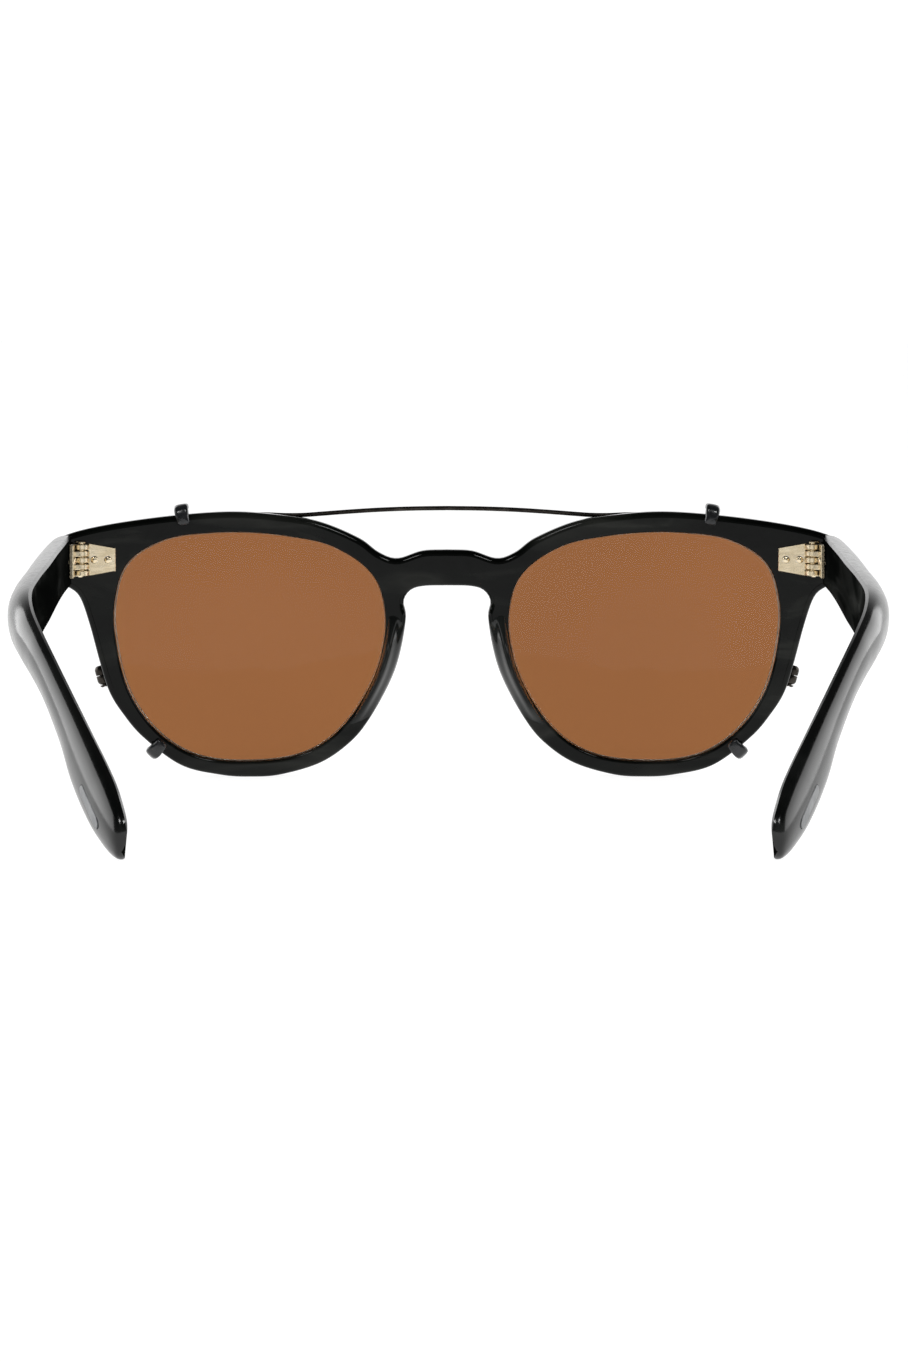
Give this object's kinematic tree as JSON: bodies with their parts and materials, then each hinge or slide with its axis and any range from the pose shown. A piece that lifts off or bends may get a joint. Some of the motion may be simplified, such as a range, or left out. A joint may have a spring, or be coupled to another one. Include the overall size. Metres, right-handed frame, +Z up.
{
  "type": "spectacles with clip-on sunglasses",
  "caption": "Round-eyed acetate spectacles with a keyhole bridge, folding temples and a brown clip-on sun lens set held on the front by small hooks.",
  "frame": {"origin": "middle of the whole object's footprint, on the surface that the rims and the temple tips rest on", "axes": "+X towards the wearer's left, +Y backwards along the open temples, +Z up"},
  "size_m": [0.139, 0.1508, 0.0473],
  "materials": {
    "smoky_acetate": "polished",
    "pad_acetate": "polished",
    "clear_lens": "clear",
    "brown_sun_lens": "tinted",
    "gold_hinge": "satin",
    "steel_core": "satin",
    "silver_inlay": "polished",
    "gunmetal": "satin",
    "black_sleeve": "matte"
  },
  "bodies": {
    "front": {"acetate_front": "smoky_acetate", "clear_lens_left": "clear_lens", "clear_lens_right": "clear_lens", "front_rivet_left_1": "gold_hinge", "front_rivet_left_2": "gold_hinge", "front_rivet_right_1": "gold_hinge", "front_rivet_right_2": "gold_hinge", "hinge_front_leaf_left": "gold_hinge", "hinge_front_leaf_right": "gold_hinge", "hinge_screw_left": "gold_hinge", "hinge_screw_right": "gold_hinge", "nose_pad_left": "pad_acetate", "nose_pad_right": "pad_acetate"},
    "temple_left": {"hinge_temple_leaf_left": "gold_hinge", "temple_arm_left": "smoky_acetate", "temple_core_left": "steel_core", "temple_inlay_left": "silver_inlay", "temple_rivet_left_1": "gold_hinge", "temple_rivet_left_2": "gold_hinge"},
    "temple_right": {"hinge_temple_leaf_right": "gold_hinge", "temple_arm_right": "smoky_acetate", "temple_core_right": "steel_core", "temple_inlay_right": "silver_inlay", "temple_rivet_right_1": "gold_hinge", "temple_rivet_right_2": "gold_hinge"},
    "clip_on": {"barrel_lower_left": "gunmetal", "barrel_lower_right": "gunmetal", "barrel_screw_left": "gunmetal", "barrel_screw_right": "gunmetal", "barrel_upper_left": "gunmetal", "barrel_upper_right": "gunmetal", "brow_bar": "gunmetal", "clip_rim_left": "gunmetal", "clip_rim_right": "gunmetal", "hook_bottom_left": "gunmetal", "hook_bottom_right": "gunmetal", "hook_sleeve_bottom_left": "black_sleeve", "hook_sleeve_bottom_right": "black_sleeve", "hook_sleeve_top_left": "black_sleeve", "hook_sleeve_top_right": "black_sleeve", "hook_top_left": "gunmetal", "hook_top_right": "gunmetal", "sun_lens_left": "brown_sun_lens", "sun_lens_right": "brown_sun_lens"}
  },
  "joints": [
    {"name": "temple_fold_left", "type": "hinge", "parent": "front", "child": "temple_left", "pos_m": [0.0629, -0.06308, 0.0378], "axis": [0, 0, 1], "range_deg": [0, 86]},
    {"name": "temple_fold_right", "type": "hinge", "parent": "front", "child": "temple_right", "pos_m": [-0.0629, -0.06308, 0.0378], "axis": [0, 0, -1], "range_deg": [0, 70]},
    {"name": "clip_release", "type": "slide", "parent": "front", "child": "clip_on", "axis": [0, -1, 0], "range_m": [0, 0.04], "deforming": ["hook_bottom_left", "hook_bottom_right", "hook_sleeve_bottom_left", "hook_sleeve_bottom_right", "hook_sleeve_top_left", "hook_sleeve_top_right", "hook_top_left", "hook_top_right"]}
  ]
}
